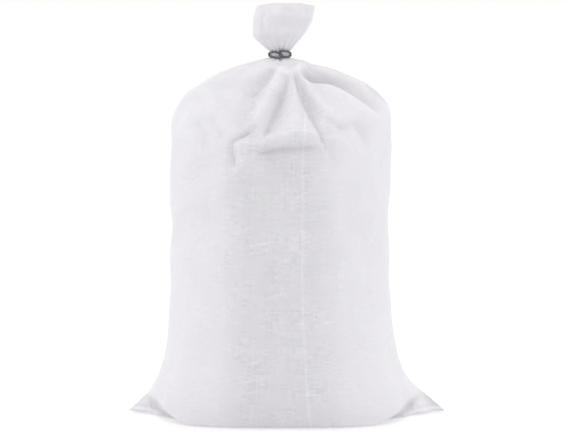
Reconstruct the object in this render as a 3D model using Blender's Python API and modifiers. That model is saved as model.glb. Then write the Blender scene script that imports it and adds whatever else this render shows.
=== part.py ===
"""A woven polypropylene sack of quartz sand, standing on its sewn bottom, its gathered neck tied with wire.

Three pieces: the sack, the sand inside it and the tie wire. Metres, +Z up. The origin is the middle of
the footprint on the floor, +X runs to the right-hand ear and the front of the sack faces -Y.
"""

from math import copysign, cos, pi, sin

import bmesh
import bpy
import numpy as np
from mathutils import Vector

MM = 0.001

# The sack as cut is a flat tube 450 mm wide and 750 mm long. Its wall is thicker here than the real fabric.
WALL = 1.2 * MM
EAR_THICKNESS = 2.4 * MM
SAND_CLEARANCE = 0.6 * MM
PANEL_COLUMNS = 28

# Sections of the sack from the floor up to its open mouth, in mm: height, left and right side, front and
# back, height of the two sides, and the number of rings to the next section.
SECTIONS = [
    ("floor_edge", 0, -175, 160, -103, 103, 0, 2),
    ("low_curve", 10, -177, 162, -113, 113, 10, 1),
    ("low_side", 32, -177, 162, -122, 122, 32, 1),
    ("flare", 62, -174, 158, -127, 127, 62, 1),
    ("flare_top", 100, -166, 150, -129, 129, 100, 1),
    ("waist", 150, -161, 142, -131, 131, 150, 1),
    ("chest", 250, -159, 139, -131, 131, 250, 1),
    ("upper", 335, -159, 140, -130, 130, 337, 1),
    ("fold_start", 372, -158, 141, -126, 126, 381, 2),
    ("shoulder", 392, -156, 140, -115, 115, 405, 2),
    ("upper_fold", 412, -149, 135, -95, 95, 424, 2),
    ("lobe", 433, -136, 125, -68, 68, 441, 2),
    ("lobe_top", 452, -116, 104, -45, 45, 456, 2),
    ("cone", 468, -88, 72, -29, 29, 468, 2),
    ("gather", 480, -54, 36, -19, 19, 479, 2),
    ("neck_foot", 487, -30, 11, -14.5, 14.5, 487, 2),
    ("neck_low", 490, -23.5, 4, -12.5, 12.5, 490, 1),
    ("neck_high", 498, -23.5, 4, -12.5, 12.5, 498, 1),
    ("neck_head", 501.5, -28, 7, -14, 14, 501.5, 2),
    ("tuft_foot", 509, -37, 13, -16, 16, 509, 2),
    ("tuft_side", 523, -47, 24, -19, 19, 522, 2),
    ("tuft_belly", 543, -46, 33, -21, 21, 542, 2),
    ("mouth", 563, -40, 35, -20, 20, 560, 0),
]
PLACE_OF = {row[0]: place for place, row in enumerate(SECTIONS)}

# Plan shape of a section: 2 is an ellipse, more is squarer.
PLAN_POWER = 2.3
# The sides stand higher or lower than the middle of a section from this share of its half width outwards.
SIDE_RISE_STARTS = 0.4

# The left ear, in mm: its hem and the folds above it, each a curve from inside the sack to the ear's edge.
EAR_FOLDS = [
    ((-115, -82, 1.5), (-172, -84, 1.5), (-218, -8, 3.0)),
    ((-120, -66, 10.0), (-165, -50, 14.0), (-207, -4, 19.0)),
    ((-130, -45, 22.0), (-162, -25, 26.0), (-194, -1, 30.0)),
    ((-140, -25, 40.0), (-160, -8, 44.0), (-183, 0, 47.0)),
    ((-150, -8, 62.0), (-160, 0, 64.0), (-174, 0, 66.0)),
    ((-155, 0, 84.0), (-158, 0, 85.0), (-161, 0, 86.0)),
]
EAR_COLUMNS = 6
# The right ear mirrors the left one about the line midway between their roots, and reaches further out.
LEFT_EAR_ROOT, RIGHT_EAR_ROOT, RIGHT_EAR_STRETCH = -163, 150, 68 / 55

# Creases that run from the tie down the shoulders: panel, place at the neck and at the shoulder as a share
# of the half panel, depth in mm and half width as a share of the half panel.
CREASES = [
    ("front", -0.62, -0.27, 8, 0.10),
    ("front", -0.24, -0.12, 9, 0.07),
    ("front", 0.22, 0.24, 9, 0.07),
    ("front", 0.62, 0.72, 10, 0.10),
    ("back", -0.60, -0.62, 9, 0.10),
    ("back", -0.20, -0.22, 9, 0.08),
    ("back", 0.20, 0.10, 9, 0.08),
    ("back", 0.58, 0.36, 9, 0.10),
]
# A crease is deepest a little below the middle of its way up, which a power under 1 does.
CREASE_POWER = 0.8
# The neck's gathers are full this many sections from the tie, and end at the second number.
NECK_GATHERS, NECK_GATHER_DEPTH = 5, 0.9 * MM
GATHERS_FULL, GATHERS_END = 0.8, 4.8
# The tuft's folds grow to their depth over this many sections above the neck.
TUFT_FOLDS, TUFT_FOLD_DEPTH, TUFT_FOLDS_GROW = 5, 3.0 * MM, 3
# The space inside the sack runs on through its mouth: how far up, and outwards as a share of the last step.
MOUTH_CUT_UP, MOUTH_CUT_OUT = 4 * MM, 0.4

# The sand fills the sack to this section and is heaped a little above it.
SAND_TOP = "lobe"
HEAP_SHARES = (0.66, 0.33)
HEAP_RISE = 9 * MM

# One steel wire goes twice round the neck, and its two ends are wound round each other at the front.
WIRE_DIAMETER = 2.0 * MM
WIRE_CLEARANCE = 0.35 * MM
NECK_CENTRE = Vector((-9.75, 0, 494)) * MM
NECK_HALF_WIDTH, NECK_HALF_DEPTH = 13.75 * MM, 12.5 * MM
KNOT_HEIGHT = 8.4 * MM
KNOT_TWIST = 2 * pi
KNOT_SHIFT = 1.5 * MM
KNOT_BENDS = 6
DEGREES_BETWEEN_BENDS = 20
KNOT_TO_NECK = Vector((2.4, 1.2, 5.6)) * MM
# A turn that stands more than this above or below the middle leans outwards with the flaring neck.
LEAN_STARTS, LEAN = 2.5 * MM, 33
# Height of the wire above the middle of the neck, in mm, against the angle it has gone round, in degrees.
# 0 is the sack's right, and the front is at -90, 270 and 630.
TURN_HEIGHTS = [
    (-58, 3.9), (-35, 2.6), (-10, 1.3), (90, 1.3), (190, 1.3), (215, 2.1), (240, 2.6),
    (270, 0), (300, -2.6), (325, -2.1), (350, -1.3), (450, -1.3), (550, -1.3), (575, -2.6), (598, -3.9),
]


def monotone(values, at):
    """Values given at 0, 1, 2 ... read at the places between, smoothly and without overshoot."""
    values = np.asarray(values, float)
    step = np.diff(values)
    before, after = step[:-1], step[1:]
    same_way = before * after > 0
    slope = np.zeros(len(values))
    slope[1:-1][same_way] = 2 * before[same_way] * after[same_way] / (before + after)[same_way]
    slope[0], slope[-1] = step[0], step[-1]
    i = np.minimum(at.astype(int), len(values) - 2)
    t = at - i
    return (
        (1 + 2 * t) * (1 - t) ** 2 * values[i]
        + t * (1 - t) ** 2 * slope[i]
        + t * t * (3 - 2 * t) * values[i + 1]
        - t * t * (1 - t) * slope[i + 1]
    )


def smoothstep(x):
    x = np.clip(x, 0, 1)
    return x * x * (3 - 2 * x)


def ring_places():
    """Where each ring lies along the list of sections, counted in sections."""
    between = [i + k / row[-1] for i, row in enumerate(SECTIONS[:-1]) for k in range(row[-1])]
    return np.array(between + [len(SECTIONS) - 1.0])


def plain_skin():
    """The sack's skin before its creases: rings of points, the front panel left to right, then the back."""
    places = ring_places()
    columns = [monotone(column, places)[:, None] * MM for column in list(zip(*SECTIONS))[1:-1]]
    z, left, right, front, back, side_z = columns
    angle = np.linspace(-pi / 2, pi / 2, PANEL_COLUMNS + 1)[None, :]
    centre, half = (left + right) / 2, (right - left) / 2
    share = abs(np.sin(angle))
    x = centre + half * np.sin(angle)
    depth = (1 - share**PLAN_POWER) ** (1 / PLAN_POWER)
    height = z + (side_z - z) * smoothstep((share - SIDE_RISE_STARTS) / (1 - SIDE_RISE_STARTS))
    panels = [np.stack([x, face * depth, height], axis=-1) for face in (front, back)]
    return np.concatenate([panels[0], panels[1][:, -2:0:-1]], axis=1)


def normals(rings):
    """Outward unit normals of a skin of rings."""
    around = np.roll(rings, -1, axis=1) - np.roll(rings, 1, axis=1)
    along = np.gradient(rings, axis=0)
    out = np.cross(around, along)
    return out / np.maximum(np.linalg.norm(out, axis=-1, keepdims=True), 1e-12)


def crease_depths(gathers):
    """How deep each point of the skin is drawn in by creases, gathers and the tuft's folds."""
    place = ring_places()[:, None]
    across = np.linspace(-1, 1, PANEL_COLUMNS + 1)[None, :]
    foot, top = PLACE_OF["fold_start"], PLACE_OF["neck_foot"]
    up = np.clip((place - foot) / (top - foot), 0, 1)
    strength = np.sin(pi * up**CREASE_POWER)
    panels = {"front": 0 * across * up, "back": 0 * across * up}
    for panel, at_neck, at_shoulder, deep, half_width in CREASES:
        line = at_shoulder + (at_neck - at_shoulder) * up
        panels[panel] += deep * MM * strength * np.exp(-(((across - line) / half_width) ** 2))
    neck = (PLACE_OF["neck_low"] + PLACE_OF["neck_high"]) / 2
    gathered = smoothstep((GATHERS_END - abs(place - neck)) / (GATHERS_END - GATHERS_FULL))
    tufted = smoothstep((place - PLACE_OF["neck_head"]) / TUFT_FOLDS_GROW)
    for depth in panels.values():
        wave = np.cos(NECK_GATHERS * pi * across) if gathers else 1
        depth += gathered * NECK_GATHER_DEPTH * (1 + wave)
        depth += tufted * TUFT_FOLD_DEPTH * (1 + np.cos(TUFT_FOLDS * pi * across)) * np.cos(across * pi / 2)
    return np.concatenate([panels["front"], panels["back"][:, -2:0:-1]], axis=1)[..., None]


def creased_skin(gathers=True):
    plain = plain_skin()
    return plain - normals(plain) * crease_depths(gathers)


def loft(name, rings):
    """A closed object through rings of points, its ends closed by strips between the two panels."""
    mesh = bmesh.new()
    rows = [[mesh.verts.new(point) for point in ring] for ring in rings]
    count = len(rows[0])
    for low, high in zip(rows, rows[1:]):
        for i in range(count):
            j = (i + 1) % count
            mesh.faces.new((low[i], low[j], high[j], high[i]))
    for row, flipped in ((rows[0], True), (rows[-1], False)):
        for i in range(count // 2):
            corners = [row[i], row[i + 1], row[-i - 1], row[-i % count]]
            strip = list(dict.fromkeys(corners))
            mesh.faces.new(strip[::-1] if flipped else strip)
    bmesh.ops.recalc_face_normals(mesh, faces=mesh.faces)
    bmesh.ops.triangulate(mesh, faces=mesh.faces, quad_method="FIXED")
    data = bpy.data.meshes.new(name)
    mesh.to_mesh(data)
    mesh.free()
    return bpy.data.objects.new(name, data)


def inner_rings(inset):
    """Rings of a skin that lies inset from the sack's outer face, without the fine gathers of the neck."""
    skin = creased_skin(gathers=False)
    rings = skin - normals(skin) * inset
    rings[..., 2] = np.maximum(rings[..., 2], inset)
    return rings


def material(name, colour, roughness, metallic=0.0):
    made = bpy.data.materials.new(name)
    made.use_nodes = True
    shader = made.node_tree.nodes["Principled BSDF"]
    shader.inputs["Base Color"].default_value = (*colour, 1)
    shader.inputs["Roughness"].default_value = roughness
    shader.inputs["Metallic"].default_value = metallic
    return made


def bezier(start, middle, end, t):
    return Vector(start) * (1 - t) ** 2 + Vector(middle) * 2 * t * (1 - t) + Vector(end) * t * t


def make_ear(name, cutters, mirrored):
    """One ear: an open sheet from inside the sack to the corner's edge, given its thickness by Solidify."""
    mesh = bmesh.new()
    rows = []
    for fold in EAR_FOLDS:
        places = [bezier(*fold, i / (EAR_COLUMNS - 1)) for i in range(EAR_COLUMNS)]
        for place in places:
            if mirrored:
                out = LEFT_EAR_ROOT - place.x
                place.x = RIGHT_EAR_ROOT + out * (RIGHT_EAR_STRETCH if out > 0 else 1)
        rows.append([mesh.verts.new(place * MM) for place in places])
    for low, high in zip(rows, rows[1:]):
        for a, b, c, d in zip(low, low[1:], high[1:], high):
            mesh.faces.new((a, d, c, b) if not mirrored else (a, b, c, d))
    data = bpy.data.meshes.new(name)
    mesh.to_mesh(data)
    mesh.free()
    ear = bpy.data.objects.new(name, data)
    thicken = ear.modifiers.new("cloth", "SOLIDIFY")
    thicken.thickness = EAR_THICKNESS
    thicken.offset = 0
    cutters.objects.link(ear)
    return ear


def make_sack(parts, cutters):
    """The woven sack: its outer form with two ears, less the space inside it, which opens at the mouth."""
    sack = loft("sack", creased_skin())
    sack.data.materials.append(material("woven_white", (0.86, 0.86, 0.88), 0.55))
    parts.objects.link(sack)
    inside = inner_rings(WALL)
    above = inside[-1:] + (inside[-1:] - inside[-2:-1]) * MOUTH_CUT_OUT + Vector((0, 0, MOUTH_CUT_UP))
    cutter = loft("sack_inside", np.concatenate([inside, above]))
    cutters.objects.link(cutter)
    steps = [
        ("UNION", make_ear("left_ear", cutters, mirrored=False)),
        ("UNION", make_ear("right_ear", cutters, mirrored=True)),
        ("DIFFERENCE", cutter),
    ]
    for operation, other in steps:
        other.hide_render = True
        other.display_type = "WIRE"
        join = sack.modifiers.new(other.name, "BOOLEAN")
        join.operation = operation
        join.object = other


def make_sand(parts):
    """The sand, lying against the sack up to the fill line, with a low heap on top."""
    filled = inner_rings(WALL + SAND_CLEARANCE)[ring_places() <= PLACE_OF[SAND_TOP]]
    top = filled[-1]
    middle = top.mean(axis=0)
    heap = [middle + (top - middle) * s + Vector((0, 0, HEAP_RISE * (1 - s))) for s in HEAP_SHARES]
    sand = loft("sand_fill", np.concatenate([filled, heap]))
    sand.data.materials.append(material("quartz_sand", (0.80, 0.72, 0.58), 0.9))
    parts.objects.link(sand)


def wire_route():
    """Points along the wire: one end in the knot, over to the neck, twice round it, the other end back."""
    radius, gap = WIRE_DIAMETER / 2, WIRE_CLEARANCE
    across, deep = NECK_HALF_WIDTH + gap + radius, NECK_HALF_DEPTH + gap + radius
    strand = radius + gap / 2
    knot = NECK_CENTRE + Vector((KNOT_SHIFT, -deep - 2 * radius - 2 * gap - strand, 0))

    def in_knot(share, phase):
        turn = phase + KNOT_TWIST * share
        return knot + Vector((strand * cos(turn), strand * sin(turn), KNOT_HEIGHT * (share - 0.5)))

    def round_neck(degree):
        height = np.interp(degree, *zip(*TURN_HEIGHTS)) * MM
        turn = np.radians(degree)
        corner = [copysign(abs(part) ** (2 / PLAN_POWER), part) for part in (cos(turn), sin(turn))]
        lean = 1 + LEAN * max(abs(height) - LEAN_STARTS, 0)
        return NECK_CENTRE + Vector((across * lean * corner[0], deep * lean * corner[1], height))

    shares = [k / KNOT_BENDS for k in range(KNOT_BENDS + 1)]
    first_end = [in_knot(share, pi / 2) for share in shares]
    last_end = [in_knot(share, -pi / 2) for share in shares]
    over = knot + KNOT_TO_NECK
    under = knot + KNOT_TO_NECK * Vector((-1, 1, -1))
    degrees = np.arange(TURN_HEIGHTS[0][0], TURN_HEIGHTS[-1][0] + 1, DEGREES_BETWEEN_BENDS)
    return first_end + [over] + [round_neck(degree) for degree in degrees] + [under] + last_end


def smoothed(points):
    """The points and one more between each two, on a smooth curve through them all."""
    points = [2 * points[0] - points[1], *points, 2 * points[-1] - points[-2]]
    fine = []
    for before, start, end, after in zip(points, points[1:], points[2:], points[3:]):
        fine += [start, (9 * (start + end) - before - after) / 16]
    return fine + [points[-2]]


def make_tie(parts):
    """The tie: one length of annealed steel wire."""
    line = bpy.data.curves.new("tie_wire", "CURVE")
    line.dimensions = "3D"
    line.bevel_depth = WIRE_DIAMETER / 2
    line.bevel_resolution = 2
    line.use_fill_caps = True
    route = smoothed(wire_route())
    spline = line.splines.new("POLY")
    spline.points.add(len(route) - 1)
    for point, place in zip(spline.points, route):
        point.co = (*place, 1)
    tie = bpy.data.objects.new("tie_wire", line)
    line.materials.append(material("annealed_steel", (0.13, 0.13, 0.14), 0.45, 0.9))
    parts.objects.link(tie)


def clear_scene():
    for item in list(bpy.data.objects):
        bpy.data.objects.remove(item)


def collection(name):
    made = bpy.data.collections.new(name)
    bpy.context.scene.collection.children.link(made)
    return made


def main():
    clear_scene()
    parts, cutters = collection("bag_of_quartz_sand"), collection("cutters")
    make_sack(parts, cutters)
    make_sand(parts)
    make_tie(parts)


main()
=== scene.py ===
"""The looks of a tied woven sack of quartz sand: its cloth, seam, sand, tie wire, floor, light and camera.

Metres, +Z up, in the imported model's own frame: the front of the sack faces -Y.
"""

from math import cos, pi, radians, sin

import bmesh
import bpy
import numpy as np
from mathutils import Matrix, Vector, noise
from mathutils.bvhtree import BVHTree


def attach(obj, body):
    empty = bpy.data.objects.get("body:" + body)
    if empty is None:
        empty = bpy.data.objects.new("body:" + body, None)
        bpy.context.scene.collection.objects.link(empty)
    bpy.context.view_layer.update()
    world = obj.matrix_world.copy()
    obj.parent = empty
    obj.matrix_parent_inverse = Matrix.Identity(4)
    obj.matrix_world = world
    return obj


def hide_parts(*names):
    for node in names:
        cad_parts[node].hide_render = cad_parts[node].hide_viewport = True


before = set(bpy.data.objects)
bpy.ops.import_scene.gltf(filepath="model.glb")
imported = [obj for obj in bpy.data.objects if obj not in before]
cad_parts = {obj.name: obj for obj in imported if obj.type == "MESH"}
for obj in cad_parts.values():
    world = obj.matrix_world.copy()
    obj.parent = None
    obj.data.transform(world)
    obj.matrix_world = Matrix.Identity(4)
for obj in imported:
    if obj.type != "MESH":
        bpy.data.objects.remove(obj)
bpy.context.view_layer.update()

MM = 0.001
# Keeps a division by a length finite where that length is nothing.
TINY = 1e-12

# The cloth: a tube cut 450 mm wide and woven from flat tapes.
FLAT_WIDTH = 450 * MM
TAPE_WIDTH = 2.9 * MM
PANEL_COLUMNS = 168
# The distance between the mesh's rows at these sections, in mm. It changes evenly from one to the next.
ROW_SPACINGS = [
    ("hem", 4), ("floor_edge", 2.5), ("flare_top", 5), ("upper", 3.4), ("fold_start", 1.9), ("mouth", 1.9),
]
# Before its rows are set, the cloth is measured at this many places, with this many columns on each panel.
MEASURED_PLACES, MEASURED_COLUMNS = 1200, 24

# Sections of the cloth from the hem under the sack up to the open mouth, in mm: height, left and right
# side, front and back, tips of the two ears, and height of the ears or sides.
SECTIONS = [
    ("hem", 0.6, -150, 136, -63, -57, -217, 217, 3.5),
    ("under_front", 0.6, -168, 153, -79, -12, -208, 207, 12),
    ("under_back", 0.6, -177, 162, -92, 50, -201, 198, 20),
    ("floor_edge", 0.6, -184, 170, -103, 103, -193, 188, 28),
    ("low_curve", 10, -182, 168, -113, 113, -187, 178, 37),
    ("low_side", 32, -179, 165, -122, 122, -181, 168, 48),
    ("flare", 62, -174, 158, -127, 127, -174.5, 158.5, 66),
    ("flare_top", 100, -166, 150, -129, 129, -166, 150, 100),
    ("waist", 150, -161, 142, -131, 131, -161, 142, 150),
    ("chest", 250, -159, 139, -131, 131, -159, 139, 250),
    ("upper", 335, -159, 140, -130, 130, -159, 140, 337),
    ("fold_start", 372, -158, 141, -126, 126, -158, 141, 381),
    ("shoulder", 392, -155, 141, -115, 115, -155, 141, 405),
    ("upper_fold", 412, -147, 138, -95, 95, -147, 138, 424),
    ("lobe", 433, -136, 125, -68, 68, -136, 125, 441),
    ("lobe_top", 452, -116, 104, -45, 45, -116, 104, 456),
    ("cone", 470, -90, 76, -29, 29, -90, 76, 470),
    ("gather", 483.5, -54, 37, -19, 19, -54, 37, 483),
    ("neck_foot", 488, -31, 13, -14.5, 14.5, -31, 13, 488),
    ("neck_low", 490, -23.5, 4, -12.5, 12.5, -23.5, 4, 490),
    ("neck_high", 498, -23.5, 4, -12.5, 12.5, -23.5, 4, 498),
    ("neck_head", 501.5, -28, 7, -14, 14, -28, 7, 501.5),
    ("tuft_foot", 509, -37, 13, -18, 18, -37, 13, 509),
    ("tuft_side", 523, -47, 24, -24, 23, -47, 24, 522),
    ("tuft_belly", 543, -46, 35, -25, 23, -46, 35, 542),
    ("mouth", 563, -41, 38, -14, 16, -41, 38, 560),
]
PLACE_OF = {row[0]: place for place, row in enumerate(SECTIONS)}
# Plan shape of a section: 2 is an ellipse, more is squarer. The sand's weight squares the foot of the sack,
# which fades over this many sections.
PLAN_POWER, FLOOR_POWER, SQUARED_SECTIONS = 2.3, 3.0, 4
# The cloth turns towards the height of its ears or sides this far from its middle: a length near the floor,
# and a share of the half width above the ears.
EAR_STARTS, SIDE_RISE_STARTS = 120 * MM, 0.4
# The two layers of an ear lie this far apart. They part from this share of the half width outwards, and meet
# at the edge, where the cosine of the angle from the panel's middle is no more than this.
EAR_LAYERS_GAP, EAR_LAYERS_APART_FROM, EDGE_COSINE = 0.9 * MM, 0.85, 0.01
# The body's depth runs out into the flat ear from this share of the half width, and at the body's side this
# share of that run is left. A section has an ear where its tip reaches past this many half widths.
EAR_ROOT_SHARE, EAR_ROOT_LEFT, LEAST_EAR_TIP = 0.9, 0.05, 1.001
# The body's side lies no further than this along that run, which keeps the logarithm finite without an ear.
MOST_OF_RUN = 0.999
# The hem lies under the front of the sack, and its ends at the ears lie up to this far behind its middle.
TIP_BEHIND_HEM = 52 * MM
LOWEST_CLOTH = 0.3 * MM

# Folds seen from the front or back, in mm: panel, points (x, z), depth (negative stands out), how wide the
# fold is to the right of a line that runs down or above one that runs right, how wide on the other side,
# and how rounded it is (1 is a sharp crease, 2 a soft roll).
FOLDS = [
    ("front", [(1, 466), (-2, 450), (-10, 430), (-20, 410), (-30, 388), (-35, 376)], 6, 6, 2.5, 1.1),
    ("front", [(-4, 452), (-8, 428), (-18, 405), (-30, 376)], 1.5, 10, 5, 2),
    ("front", [(9, 472), (13, 456), (21, 434), (33, 408), (49, 376), (56, 358)], 7, 5, 2.5, 1.0),
    ("front", [(16, 456), (28, 428), (42, 400)], 2.5, 12, 4, 2),
    ("front", [(6, 480), (6, 452), (7, 415), (8, 385)], -6, 12, 11, 2),
    ("front", [(-8, 483), (-10, 467), (-23, 438), (-38, 411), (-52, 386)], -7.5, 7, 7, 2),
    ("front", [(-14, 484), (-22, 463), (-33, 452), (-45, 441), (-58, 434)], 5, 3, 8, 1.3),
    ("front", [(-12, 488), (-43, 464), (-74, 444), (-100, 424)], -4, 10, 9, 2),
    ("front", [(9, 482), (15, 472), (31, 446), (49, 419), (69, 401)], -6, 6, 6, 2),
    ("front", [(14, 474), (30, 464), (60, 458), (89, 443), (114, 424), (127, 406)], 15, 15, 3, 1.1),
    ("front", [(30, 478), (64, 470), (96, 456), (118, 438)], -3.5, 7, 7, 2),
    ("front", [(34, 452), (62, 449), (88, 434), (112, 415), (122, 402)], -4, 5, 10, 2),
    ("front", [(-46, 374), (-18, 384), (6, 388), (28, 388), (54, 382)], -5, 18, 5, 1.4),
    ("front", [(-48, 361), (-18, 371), (6, 374), (26, 374), (54, 369)], 6.5, 2.5, 30, 1.4),
    ("front", [(-36, 402), (-54, 391), (-71, 379), (-69, 356), (-67, 340)], 6, 3, 4, 1.0),
    ("front", [(-100, 430), (-80, 440), (-56, 452), (-34, 464)], 3.5, 12, 13, 2),
    ("front", [(-55, 384), (-53, 364), (-50, 340)], -3, 9, 9, 2),
    ("front", [(-104, 416), (-92, 396), (-80, 378)], 3, 6, 6, 1.3),
    ("front", [(-120, 410), (-108, 390), (-100, 366)], 3, 6, 6, 1.5),
    ("front", [(50, 412), (66, 401), (86, 391)], 4, 5, 6, 1.2),
    ("front", [(84, 408), (98, 390), (105, 364)], 3, 6, 6, 1.5),
    ("front", [(62, 384), (58, 362), (66, 340)], 2.5, 5, 8, 1.3),
    ("back", [(-3, 482), (-14, 455), (-36, 425), (-58, 385)], 9, 9, 3.5, 1.1),
    ("back", [(-14, 482), (-40, 462), (-80, 445), (-118, 418)], 11, 4, 12, 1.2),
    ("back", [(-7, 482), (-8, 455), (0, 425), (6, 385)], 7, 7, 4, 1.1),
    ("back", [(2, 480), (18, 458), (40, 430), (66, 388)], 9, 4, 10, 1.1),
    ("back", [(6, 480), (38, 464), (78, 440), (108, 408)], 9, 12, 4, 1.2),
    ("back", [(-3, 478), (-26, 445), (-46, 412), (-60, 372)], -4, 7, 7, 2),
    ("back", [(4, 478), (28, 448), (56, 420), (84, 398)], -4, 7, 7, 2),
    ("back", [(-56, 374), (-10, 378), (20, 376), (58, 370)], -6, 14, 5, 1.4),
    ("back", [(-50, 360), (0, 360), (50, 358)], 5, 6, 16, 1.6),
    ("back", [(-84, 404), (-96, 384), (-92, 356)], 4, 6, 7, 1.2),
    ("back", [(88, 398), (84, 374), (96, 352)], 4, 7, 6, 1.2),
    ("front", [(4, 560), (-2, 540), (0, 522)], 3.4, 12, 9, 2),
    ("front", [(-25, 556), (-34, 538), (-27, 518), (-20, 508)], 2.6, 4, 7, 1.4),
    ("front", [(26, 558), (25, 540), (12, 518)], 2.0, 7, 4, 1.5),
    ("back", [(-20, 563), (-24, 545), (-16, 515)], 6, 7, 6, 1.5),
    ("back", [(6, 563), (8, 545), (0, 515)], 7, 7, 6, 1.5),
]
# A fold fades in and out over these shares of its line.
FOLD_FADES_IN, FOLD_FADES_OUT = 0.2, 0.3
# The gathers at the neck: how many on each panel and how deep. They fade over this many sections, after a
# stretch at full depth that is this share as long. Their spacing wanders by this phase, at this rate.
NECK_GATHERS, NECK_GATHER_DEPTH = 9, 0.9 * MM
GATHERS_FADE, GATHERS_FULL = 4.5, 0.25
GATHERS_WANDER, WANDER_RATE = 0.6, 5
# Full relief of a hollow, for the painted shade in the cloth's hollows and the painted highlights on its
# ridges.
FULL_RELIEF = 10 * MM

# The sand presses broad low lumps into the cloth: how far, over what width.
LUMP_HEIGHT, LUMP_WIDTH = 1.6 * MM, 55 * MM
# The flattened tube's two side creases stand out a little on the way down to the ears.
SIDE_CREASE_HEIGHT, SIDE_CREASE_WIDTH = 1.0 * MM, 3.5 * MM

# The mouth's lining starts one thickness inside the cloth and closes like a funnel down at the neck.
CLOTH_THICKNESS = 0.7 * MM
LINING_ROWS = 14
LINING_ENDS = "neck_head"
LINING_END_SHARE = 0.25

# The sack's body stands round an upright axis at this x.
AXIS_X = -8 * MM
# The ears' relief fades in outwards from this far off the axis, and fades out below this height.
EAR_FROM, EAR_FADES_IN = 155 * MM, 18 * MM
EAR_TOP, EAR_FADES_OUT = 90 * MM, 40 * MM
# The ears wave gently, on a slant, and the hem's stitches pucker them along the thread.
EAR_WAVE, EAR_WAVE_LENGTH, EAR_WAVE_SLANT = 2.6 * MM, 34 * MM, 0.6
PUCKER, PUCKER_LENGTH, PUCKER_REACH = 0.7 * MM, 7.5 * MM, 10 * MM
# The hem is turned up once, and a thread runs along it.
HEM_TURN_UP, HEM_TURN_UP_THICKNESS, HEM_STEP = 19 * MM, 0.7 * MM, 2 * MM
THREAD_ABOVE_HEM = 9 * MM
STITCH_LENGTH, STITCH_PITCH, THREAD_RADIUS = 3.6 * MM, 5.2 * MM, 0.45 * MM
# Stitches are made from this far out on an ear, where the cloth faces front or back by at least this much.
# Their middles stand off the cloth by this share of their radius.
STITCHES_START, LEAST_FACING, STITCH_RAISED = 8 * MM, 0.3, 0.6

# The sand stays this far inside the cloth, or further inside above the height where the folds start, and
# then keeps this share of its distance from the axis.
SAND_BELOW_CLOTH, SAND_BELOW_FOLDS, FOLDS_START = 1.5 * MM, 6 * MM, 350 * MM
SAND_DRAWN_IN = 0.99
# Each edge of the packed sand is cut this many times, after points this close together are made one.
SAND_CUTS, SAME_POINT = 3, 0.001 * MM


def smoothstep(x):
    x = np.clip(x, 0, 1)
    return x * x * (3 - 2 * x)


def rises(places, name, over):
    """0 up to a section, and then rising to 1 over this many sections."""
    return smoothstep((places - PLACE_OF[name]) / over)


def falls(places, name, over):
    """1 and then falling, over this many sections, to 0 at a section."""
    return smoothstep((PLACE_OF[name] - places) / over)


def unit(vectors):
    """The vectors scaled to a length of 1."""
    return vectors / np.maximum(np.linalg.norm(vectors, axis=-1, keepdims=True), TINY)


def monotone(values, at):
    """Values given at 0, 1, 2 ... read at the places between, smoothly and without overshoot."""
    values = np.asarray(values, float)
    step = np.diff(values)
    before, after = step[:-1], step[1:]
    same_way = before * after > 0
    slope = np.zeros(len(values))
    slope[1:-1][same_way] = 2 * before[same_way] * after[same_way] / (before + after)[same_way]
    slope[0], slope[-1] = step[0], step[-1]
    i = np.minimum(at.astype(int), len(values) - 2)
    t = at - i
    return (
        (1 + 2 * t) * (1 - t) ** 2 * values[i]
        + t * (1 - t) ** 2 * slope[i]
        + t * t * (3 - 2 * t) * values[i + 1]
        - t * t * (1 - t) * slope[i + 1]
    )


def joined(front, back):
    """One closed ring for each row: the front panel left to right, then the back panel right to left."""
    return np.concatenate([front, back[:, -2:0:-1]], axis=1)


def ear_tapered(share, tip):
    """The share of the half width that gives a section its depth: it nears 1 only along the ear."""
    root = EAR_ROOT_SHARE
    side = np.minimum((1 - root) / (tip - root), MOST_OF_RUN)
    fade = np.log(EAR_ROOT_LEFT) / np.log(1 - side)
    t = np.clip((share - root) / (tip - root), 0, 1)
    into = root + (1 - root) * (1 - (1 - t) ** fade)
    return np.clip(np.where((tip > LEAST_EAR_TIP) & (share > root), into, share), 0, 1)


def plain_skin(places, columns):
    """The cloth before its folds, at these places along the sections."""
    table = [monotone(column, places)[:, None] * MM for column in list(zip(*SECTIONS))[1:]]
    z, left, right, front, back, ear_left, ear_right, ear_z = table
    angle = np.linspace(-pi / 2, pi / 2, columns + 1)[None, :]
    centre, half, middle = (left + right) / 2, (right - left) / 2, (front + back) / 2
    reach = np.where(angle < 0, centre - ear_left, ear_right - centre)
    x = centre + reach * np.sin(angle)
    share = abs(x - centre) / half
    squared = smoothstep(1 - (places[:, None] - PLACE_OF["floor_edge"]) / SQUARED_SECTIONS)
    power = PLAN_POWER + (FLOOR_POWER - PLAN_POWER) * squared
    depth = (1 - ear_tapered(share, reach / half) ** power) ** (1 / power)
    above_ears = rises(places[:, None], "flare", 2)
    start = EAR_STARTS + (SIDE_RISE_STARTS * half - EAR_STARTS) * above_ears
    into_ear = smoothstep((abs(x - centre) - start) / (reach - start))
    height = z + (ear_z - z) * into_ear
    line = middle * (1 - into_ear) + np.minimum(middle + TIP_BEHIND_HEM, 0) * into_ear
    core = np.stack([x, line, height], axis=-1)
    body = (back - front) / 2 * depth
    parted = smoothstep((share - EAR_LAYERS_APART_FROM) / (1 - EAR_LAYERS_APART_FROM))
    parted = parted * (np.cos(angle) > EDGE_COSINE)
    facing = unit(np.cross(np.gradient(core, axis=1), np.gradient(core, axis=0)))
    flap = facing * (EAR_LAYERS_GAP / 2 * parted)[..., None]
    panels = [core + np.stack([0 * x, sign * body, 0 * x], axis=-1) - sign * flap for sign in (-1, 1)]
    skin = joined(*panels)
    skin[..., 2] = np.maximum(skin[..., 2], LOWEST_CLOTH)
    return skin


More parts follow.
